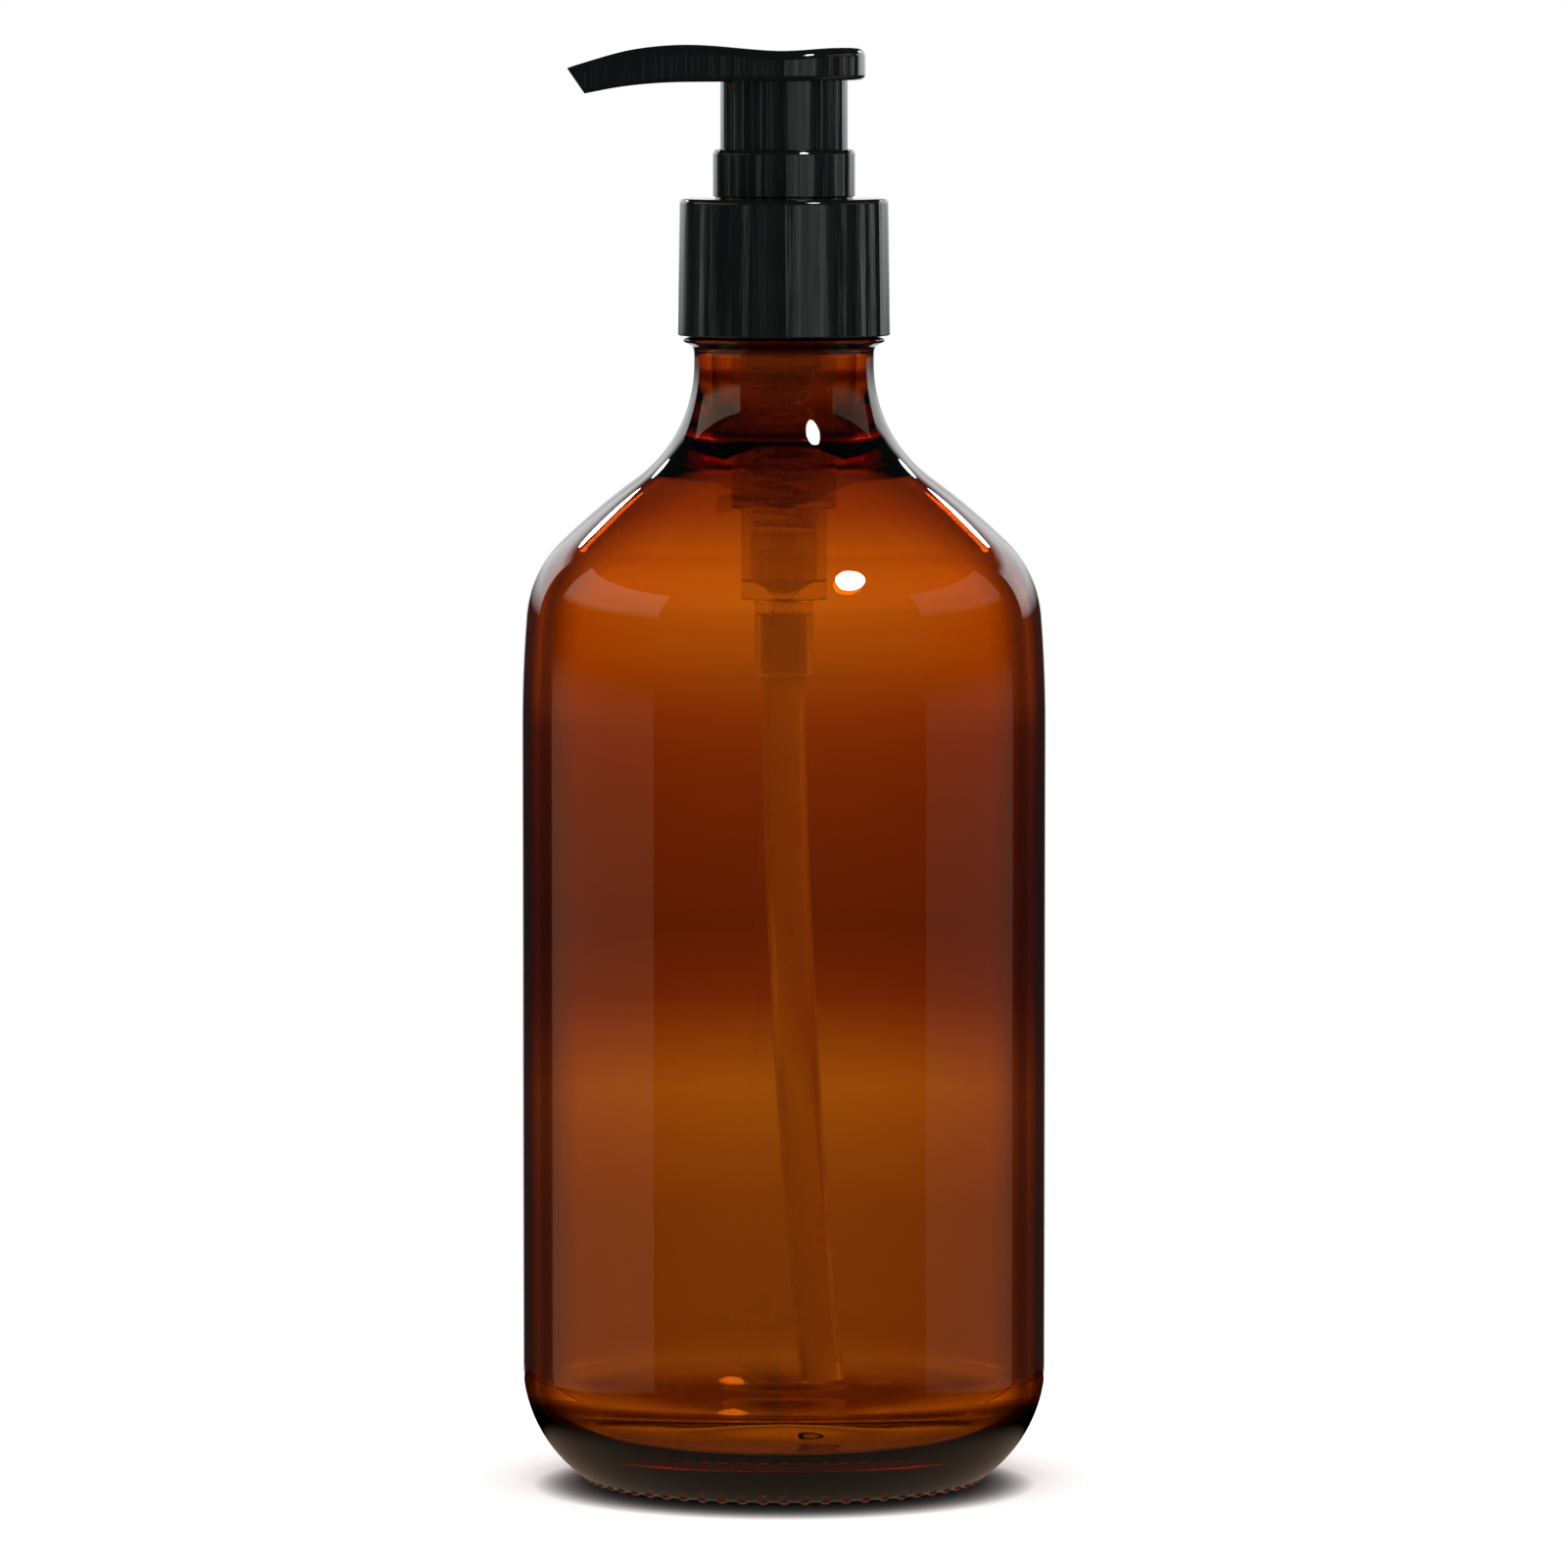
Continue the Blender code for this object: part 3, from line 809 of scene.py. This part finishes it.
def head():
    """The head: its drop-shaped body, the skirt, the stem's socket, two lugs and the outlet."""
    top_line = [
        (-34, 200.8),
        (-28.8, 202.6),
        (-21.3, 204.6),
        (-13.3, HEAD_TOP),
        (-0.7, 204.4),
        (7, 204.8),
        (12, 204.8),
    ]
    bottom_line = [
        (-34, 197.2),
        (-28.3, 198.3),
        (-22.9, 199.3),
        (-17.1, 199.85),
        (-9.5, 200.0),
        (12, 200.2),
    ]
    top_edge, bottom_edge, edge_steps = 1.3, 0.8, 6
    section = [("top", 99.0, 0.0), ("top", 7.0, 0.0), ("top", 4.0, 0.0), ("top", 2.4, 0.0)]
    for i in range(edge_steps + 1):
        a = math.pi / 2 * i / edge_steps
        section.append(("top", top_edge * (1 - math.sin(a)), top_edge * (1 - math.cos(a))))
    for i in range(edge_steps + 1):
        a = math.pi / 2 * i / edge_steps
        section.append(("bottom", bottom_edge * (1 - math.cos(a)), bottom_edge * (1 - math.sin(a))))
    section += [("bottom", 2.4, 0.0), ("bottom", 99.0, 0.0)]
    bm = bmesh.new()
    rings = []
    for face, inset, step in section:
        loop = []
        for edge, middle in head_outline(-33.0):
            edge, middle = Vector(edge), Vector(middle)
            reach = (edge - middle).length
            x, y = middle + (edge - middle) * max(0.0, 1 - inset / reach)
            if face == "top":
                z = smooth_line(top_line, x) - step
            else:
                z = smooth_line(bottom_line, x) + step
            loop.append(bm.verts.new((x * MM, y * MM, z * MM)))
        rings.append(loop)
    bridged(bm, rings)
    piece = to_object("pump_head", bm, BLACK)

    inner_top, skirt_in = 201.0, 8.0
    skirt_outline = [
        (SKIRT_R, inner_top),
        (SKIRT_R, SKIRT_BOTTOM),
        (skirt_in, SKIRT_BOTTOM),
        (skirt_in, inner_top),
    ]
    combine(piece, turned("skirt", filleted(skirt_outline, 0.25), BLACK, 128), "UNION")
    for side, start in (("a", -8), ("b", 172)):
        combine(piece, sector(f"lug_{side}", 6.9, 8.5, 189.1, 191.4, start, start + 16), "UNION")
    combine(piece, rod("socket", 5.0, (0, 0, 193.5), (0, 0, inner_top)), "UNION")
    combine(piece, rod("well", STEM_R + 0.1, (0, 0, 190.0), (0, 0, 200.1)), "DIFFERENCE")
    combine(piece, rod("riser", STEM_BORE_R, (0, 0, 199.0), (0, 0, 203.2)), "DIFFERENCE")

    low, high = Vector((-28.3, 0, 198.3)), Vector((-30.8, 0, 201.9))
    up = (high - low).normalized()
    out = up.cross(Vector((0, 1, 0)))
    if out.x > 0:
        out.negate()
    size = 16.0
    bm = bmesh.new()
    place = Matrix((out, Vector((0, 1, 0)), out.cross(Vector((0, 1, 0))))).transposed().to_4x4()
    place.translation = ((low + high) / 2 + out * size / 2) * MM
    bmesh.ops.create_cube(bm, size=size * MM, matrix=place)
    combine(piece, to_object("tip", bm, None), "DIFFERENCE")
    combine(piece, rod("channel", 1.25, (-0.5, 0, 202.0), (-34.0, 0, 199.75), 32), "DIFFERENCE")
    piece.data.shade_smooth()
    piece.data.set_sharp_from_angle(angle=math.radians(34))
    return piece


shown(bottle(), "bottle", "bottle")
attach(stipples(), "bottle")
shown(collar(), "collar", "collar")
shown(chaplet(), "pump", "chaplet")
shown(housing(), "pump", "housing")
shown(dip_tube(), "pump", "dip_tube")
shown(spring_seat(), "pump", "spring_seat")
shown(ring("lip_gasket", "outer_gasket", 10.5, 12.6, SEAL), "pump", "outer_gasket")
shown(ring("stem_wiper", "stem_seal", STEM_R + 0.2, 5.1, SEAL), "pump", "stem_seal")
coil = shown(spring(), "pump", "spring")
shown(head(), "head", "actuator_head")
shown(stem(), "head", "stem")
shown(valve_rod(), "plunger", "valve_rod")
shown(piston(), "piston", "piston")
shown(inlet_ball(), "ball", "inlet_ball")

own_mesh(coil)


# ---------------------------------------------------------------- stage and light


def only(obj, camera=False, diffuse=False, glossy=False, transmission=False, shadow=False):
    """Which rays see this object."""
    obj.visible_camera = camera
    obj.visible_diffuse = diffuse
    obj.visible_glossy = glossy
    obj.visible_transmission = transmission
    obj.visible_volume_scatter = False
    obj.visible_shadow = shadow


def first(tree, kind):
    """The tree's node of that type."""
    return next(node for node in tree.nodes if node.type == kind)


def emitter(name, colour=(1, 1, 1), strength=1.0):
    material = bpy.data.materials.new(name)
    material.use_nodes = True
    tree = material.node_tree
    tree.nodes.clear()
    light = tree.nodes.new("ShaderNodeEmission")
    light.inputs["Color"].default_value = (*colour, 1)
    light.inputs["Strength"].default_value = strength
    output = tree.nodes.new("ShaderNodeOutputMaterial")
    tree.links.new(light.outputs["Emission"], output.inputs["Surface"])
    return material


def plane(name, width, height, place, material):
    bm = bmesh.new()
    bmesh.ops.create_grid(bm, x_segments=1, y_segments=1, size=0.5)
    bmesh.ops.scale(bm, vec=(width, height, 1), verts=bm.verts)
    bmesh.ops.transform(bm, matrix=place, verts=bm.verts)
    obj = to_object(name, bm, material)
    return obj


LAMP_DISTANCE = 0.55  # nearer than the cards, so that none hides a lamp


def facing(azimuth, elevation, distance, aim=(0, 0, 0.1)):
    """A place at that direction from aim, in degrees, whose +Z points back at it. Azimuth 0 is the
    camera's side, -Y, and 90 is +X."""
    a, e = math.radians(azimuth), math.radians(elevation)
    away = Vector((math.sin(a) * math.cos(e), -math.cos(a) * math.cos(e), math.sin(e)))
    turn = away.to_track_quat("Z", "Y").to_matrix().to_4x4()
    return Matrix.Translation(Vector(aim) + away * distance) @ turn


def oval_lamp(name, azimuth, elevation, width, height, strength, roll=0):
    """A glowing oval that only mirrors and glass show. roll turns it about its aim, in degrees."""
    turn = Matrix.Rotation(math.radians(roll), 4, "Z")
    size = turn @ Matrix.Diagonal((width / 2, height / 2, 1, 1))
    bm = bmesh.new()
    place = facing(azimuth, elevation, LAMP_DISTANCE) @ size
    bmesh.ops.create_circle(bm, cap_ends=True, segments=48, radius=1.0, matrix=place)
    card = to_object(name, bm, emitter(name, (1, 1, 1), strength))
    only(card, glossy=True, transmission=True)


def upright_card(name, azimuths, heights, distance, glow):
    """A card that stands round the bottle, over azimuths in degrees and heights in metres."""
    bm = bmesh.new()
    steps = 24
    rings = []
    for i in range(steps + 1):
        a = math.radians(azimuths[0] + (azimuths[1] - azimuths[0]) * i / steps)
        x, y = distance * math.sin(a), -distance * math.cos(a)
        rings.append([bm.verts.new((x, y, z)) for z in heights])
    for near, far in zip(rings, rings[1:]):
        bm.faces.new((near[0], near[1], far[1], far[0]))
    card = to_object(name, bm, glow)
    only(card, glossy=True)
    return card


def mirrored_in(card, *pieces):
    """Only these pieces mirror the card. The others look through it."""
    seen_by = bpy.data.collections.new(card.name + "_seen_by")
    for piece in pieces:
        seen_by.objects.link(bpy.data.objects[piece])
    card.light_linking.receiver_collection = seen_by
    tree = card.data.materials[0].node_tree
    light = first(tree, "EMISSION")
    output = first(tree, "OUTPUT_MATERIAL")
    clear = tree.nodes.new("ShaderNodeBsdfTransparent")
    both = tree.nodes.new("ShaderNodeAddShader")
    tree.links.new(light.outputs["Emission"], both.inputs[0])
    tree.links.new(clear.outputs["BSDF"], both.inputs[1])
    tree.links.new(both.outputs["Shader"], output.inputs["Surface"])


def banded(name, stops):
    """A glowing material whose colour changes with height, from (height in m, colour) stops."""
    low, high = stops[0][0], stops[-1][0]
    material = emitter(name)
    tree = material.node_tree
    place = tree.nodes.new("ShaderNodeTexCoord")
    parts = tree.nodes.new("ShaderNodeSeparateXYZ")
    share = tree.nodes.new("ShaderNodeMapRange")
    share.inputs["From Min"].default_value = low
    share.inputs["From Max"].default_value = high
    ramp = tree.nodes.new("ShaderNodeValToRGB")
    fill(ramp.color_ramp, [((z - low) / (high - low), colour) for z, colour in stops])
    light = first(tree, "EMISSION")
    tree.links.new(place.outputs["Object"], parts.inputs["Vector"])
    tree.links.new(parts.outputs["Z"], share.inputs["Value"])
    tree.links.new(share.outputs["Result"], ramp.inputs["Fac"])
    tree.links.new(ramp.outputs["Color"], light.inputs["Color"])
    return material


def streaked(name):
    """A faint glowing material in upright streaks, as a studio round the pump is mirrored in it."""
    material = emitter(name)
    tree = material.node_tree
    place = tree.nodes.new("ShaderNodeTexCoord")
    upright = tree.nodes.new("ShaderNodeMapping")
    upright.inputs["Scale"].default_value = (1, 1, 0.05)
    noise = tree.nodes.new("ShaderNodeTexNoise")
    noise.inputs["Scale"].default_value = 22.0
    noise.inputs["Detail"].default_value = 5.0
    ramp = tree.nodes.new("ShaderNodeValToRGB")
    fill(
        ramp.color_ramp,
        [
            (0.45, (0.0, 0.0, 0.0)),
            (0.54, (0.12, 0.13, 0.13)),
            (0.62, (0.7, 0.72, 0.72)),
            (0.70, (1.4, 1.4, 1.4)),
        ],
    )
    light = first(tree, "EMISSION")
    tree.links.new(place.outputs["Object"], upright.inputs["Vector"])
    tree.links.new(upright.outputs["Vector"], noise.inputs["Vector"])
    tree.links.new(noise.outputs["Fac"], ramp.inputs["Fac"])
    tree.links.new(ramp.outputs["Color"], light.inputs["Color"])
    return material


CAMERA_Y, CAMERA_Z = 1.49, 0.212
SHADE_SHIFT = 7.0  # mm from the bottle's axis towards -Y, to the middle of the floor's dark patch
SHADE_SPAN = 50.0  # mm that its colour ramp covers

# The glow of the floor as glass shows it, in rings round the bottle. Each ring is named by the
# height in mm at which the main camera sees it at the bottle's axis. The rings stay put in other
# views, and give the glass its darker and lighter bands.
BACKDROP = [
    (2, (0.03, 0.03, 0.03)),
    (7, (0.04, 0.03, 0.02)),
    (11, (0.07, 0.05, 0.03)),
    (14, (0.20, 0.16, 0.10)),
    (20, (0.33, 0.29, 0.19)),
    (40, (0.36, 0.32, 0.2)),
    (51, (0.50, 0.48, 0.3)),
    (57, (0.58, 0.60, 0.3)),
    (64, (0.42, 0.34, 0.2)),
    (70, (0.28, 0.15, 0.1)),
    (80, (0.20, 0.10, 0.08)),
    (98, (0.28, 0.15, 0.08)),
    (105, (0.34, 0.18, 0.11)),
    (110, (0.39, 0.22, 0.14)),
    (115, (0.51, 0.35, 0.21)),
    (118, (0.61, 0.46, 0.26)),
    (122, (0.70, 0.58, 0.29)),
    (127, (0.76, 0.65, 0.31)),
    (150, (0.86, 0.75, 0.36)),
    (205, (0.88, 0.76, 0.37)),
]


def ground():
    """The pale floor, and two cards under it: what glass shows of it, and what mirrors do. The
    floor's colour has a dark patch before the base, which stands in for a contact shadow."""
    m = Nodes("pale_floor")
    m.set(Roughness=0.9, Specular_IOR_Level=0.0)
    place = m.add("ShaderNodeTexCoord")
    shifted = m.add("ShaderNodeVectorMath", {1: (0, SHADE_SHIFT * MM, 0)}, operation="ADD")
    radius = m.add("ShaderNodeVectorMath", operation="LENGTH")
    share = m.add("ShaderNodeMath", {1: SHADE_SPAN * MM}, operation="DIVIDE")
    m.link(place.outputs["Object"], shifted.inputs[0])
    m.link(shifted.outputs["Vector"], radius.inputs[0])
    m.link(radius.outputs["Value"], share.inputs[0])
    shade = [
        (24, 0.025),
        (26.7, 0.045),
        (28.3, 0.08),
        (29.8, 0.14),
        (31.5, 0.25),
        (33.5, 0.5),
        (36, 0.92),
    ]
    greys = m.ramp(share.outputs["Value"], [(r / SHADE_SPAN, (v, v, v)) for r, v in shade])
    m.link(greys, m.shader.inputs["Base Color"])
    floor = plane("floor", 12, 12, Matrix.Identity(4), m.material)
    only(floor, camera=True, diffuse=True, shadow=True)

    through = emitter("floor_through_glass")
    tree = through.node_tree
    place = tree.nodes.new("ShaderNodeTexCoord")
    length = tree.nodes.new("ShaderNodeVectorMath")
    length.operation = "LENGTH"
    whole = tree.nodes.new("ShaderNodeMath")
    whole.operation = "ADD"
    whole.inputs[1].default_value = CAMERA_Y
    share = tree.nodes.new("ShaderNodeMath")
    share.operation = "DIVIDE"
    ramp = tree.nodes.new("ShaderNodeValToRGB")
    fill(ramp.color_ramp, [(z / (CAMERA_Z / MM), colour) for z, colour in BACKDROP])
    light = first(tree, "EMISSION")
    tree.links.new(place.outputs["Object"], length.inputs[0])
    tree.links.new(length.outputs["Value"], whole.inputs[0])
    tree.links.new(length.outputs["Value"], share.inputs[0])
    tree.links.new(whole.outputs["Value"], share.inputs[1])
    tree.links.new(share.outputs["Value"], ramp.inputs["Fac"])
    tree.links.new(ramp.outputs["Color"], light.inputs["Color"])
    drop = Matrix.Translation((0, 0, -0.0005))
    only(plane("floor_through_glass", 40, 40, drop, through), transmission=True)

    near = emitter("floor_in_mirrors", (0.8, 0.55, 0.4), 0.3)
    fade_by_distance(near, 0.038, 0.050)
    only(plane("floor_in_mirrors", 0.2, 0.2, drop, near), glossy=True)


def fade_by_distance(material, inner, outer):
    """The material's light fades to nothing between two distances from the middle of its card."""
    tree = material.node_tree
    place = tree.nodes.new("ShaderNodeTexCoord")
    length = tree.nodes.new("ShaderNodeVectorMath")
    length.operation = "LENGTH"
    fade = tree.nodes.new("ShaderNodeMapRange")
    fade.interpolation_type = "SMOOTHSTEP"
    light = first(tree, "EMISSION")
    full = light.inputs["Strength"].default_value
    limits = (("From Min", inner), ("From Max", outer), ("To Min", full), ("To Max", 0.0))
    for socket, value in limits:
        fade.inputs[socket].default_value = value
    tree.links.new(place.outputs["Object"], length.inputs[0])
    tree.links.new(length.outputs["Value"], fade.inputs["Value"])
    tree.links.new(fade.outputs["Result"], light.inputs["Strength"])


def sky():
    """White where the camera and matt surfaces look, darker where glass and mirrors do. The light
    that comes in through the glass from high up is strong, to reach the parts inside the bottle."""
    world = bpy.data.worlds.new("studio")
    bpy.context.scene.world = world
    world.use_nodes = True
    tree = world.node_tree
    light = tree.nodes["Background"]
    rays = tree.nodes.new("ShaderNodeLightPath")
    place = tree.nodes.new("ShaderNodeTexCoord")
    parts = tree.nodes.new("ShaderNodeSeparateXYZ")
    tree.links.new(place.outputs["Generated"], parts.inputs["Vector"])
    high = tree.nodes.new("ShaderNodeMapRange")
    high.interpolation_type = "SMOOTHSTEP"
    limits = (("From Min", 0.3), ("From Max", 0.6), ("To Min", 0.9), ("To Max", 3.0))
    for socket, value in limits:
        high.inputs[socket].default_value = value
    tree.links.new(parts.outputs["Z"], high.inputs["Value"])

    def chosen(switch, yes, no, kind="FLOAT"):
        """yes for rays of one kind and no for the rest. Both are numbers, colours or sockets."""
        node = tree.nodes.new("ShaderNodeMix")
        node.data_type = kind
        index = {"FLOAT": 2, "RGBA": 6}[kind]
        tree.links.new(rays.outputs[switch], node.inputs[0])
        for place, value in ((index, no), (index + 1, yes)):
            if isinstance(value, bpy.types.NodeSocket):
                tree.links.new(value, node.inputs[place])
            else:
                node.inputs[place].default_value = value
        return node.outputs["Result"] if kind == "FLOAT" else node.outputs[2]

    matt = chosen("Is Diffuse Ray", 1.6, 1.0)
    mirrored = chosen("Is Glossy Ray", 0.02, matt)
    through = chosen("Is Transmission Ray", high.outputs["Result"], mirrored)
    tree.links.new(through, light.inputs["Strength"])
    colour = chosen("Is Transmission Ray", (1.0, 0.87, 0.42, 1), (1, 1, 1, 1), "RGBA")
    tree.links.new(colour, light.inputs["Color"])


def camera():
    """The photograph's view: a long lens a little above the bottle, looking slightly down."""
    data = bpy.data.cameras.new("camera")
    data.lens = 240.0
    data.sensor_width = 36.0
    data.clip_end = 50.0
    obj = bpy.data.objects.new("camera", data)
    bpy.context.scene.collection.objects.link(obj)
    obj.location = (0, -CAMERA_Y, CAMERA_Z)
    aim = Vector((0, 0, 0.0998))
    obj.rotation_mode = "QUATERNION"
    obj.rotation_quaternion = (aim - obj.location).to_track_quat("-Z", "Y")
    bpy.context.scene.camera = obj


ground()
sky()
left_glow = [
    (-0.8, (0.50, 0.28, 0.18)),
    (0.09, (0.50, 0.28, 0.16)),
    (0.12, (0.0, 0.0, 0.0)),
    (0.25, (0.0, 0.0, 0.0)),
    (0.30, (1.0, 0.75, 0.5)),
    (0.5, (1.0, 0.8, 0.6)),
]
right_glow = [
    (-0.8, (0.30, 0.22, 0.16)),
    (0.09, (0.28, 0.21, 0.15)),
    (0.12, (0.0, 0.0, 0.0)),
    (0.25, (0.0, 0.0, 0.0)),
    (0.30, (0.5, 0.38, 0.28)),
    (0.5, (0.5, 0.4, 0.3)),
]
back_glow = [
    (0.13, (0.0, 0.0, 0.0)),
    (0.20, (1.3, 1.32, 1.36)),
    (0.33, (1.6, 1.6, 1.6)),
    (0.40, (0.0, 0.0, 0.0)),
]
edge_glow = [
    (0.13, (0.0, 0.0, 0.0)),
    (0.15, (0.7, 0.72, 0.75)),
    (0.21, (1.6, 1.6, 1.6)),
    (0.33, (1.6, 1.6, 1.6)),
    (0.38, (0.0, 0.0, 0.0)),
]
upright_card("left_softbox", (-120, -57), (-0.8, 0.5), 0.6, banded("left_softbox", left_glow))
upright_card("right_softbox", (63, 117), (-0.8, 0.5), 0.6, banded("right_softbox", right_glow))
upright_card("back_card", (164, 196), (-0.2, 0.4), 0.9, emitter("back_card"))
upright_card("back_left_card", (-164, -138), (0.13, 0.40), 0.6, banded("back_left_card", back_glow))
upright_card("back_right_card", (138, 164), (0.13, 0.40), 0.6, banded("back_right_card", back_glow))
upright_card("right_edge_strip", (130, 142), (0.13, 0.38), 0.59, banded("right_edge_strip", edge_glow))
surround = upright_card("pump_surround", (-150, 150), (0.14, 0.23), 0.58, streaked("pump_surround"))
pump_fill = upright_card("pump_fill", (10, 48), (0.15, 0.22), 0.57, emitter("pump_fill", (1, 1, 1), 0.4))
for card in (surround, pump_fill):
    mirrored_in(card, "pump_head", "lock_ring", "screw_collar")
oval_lamp("front_lamp", 39.2, 51.8, 0.105, 0.19, 26.0, -25.9)
oval_lamp("back_left_lamp", -152, 28, 0.075, 0.034, 12.0)
oval_lamp("back_right_lamp", 152, 28, 0.075, 0.034, 12.0)
camera()
bpy.context.scene.view_settings.view_transform = "Standard"
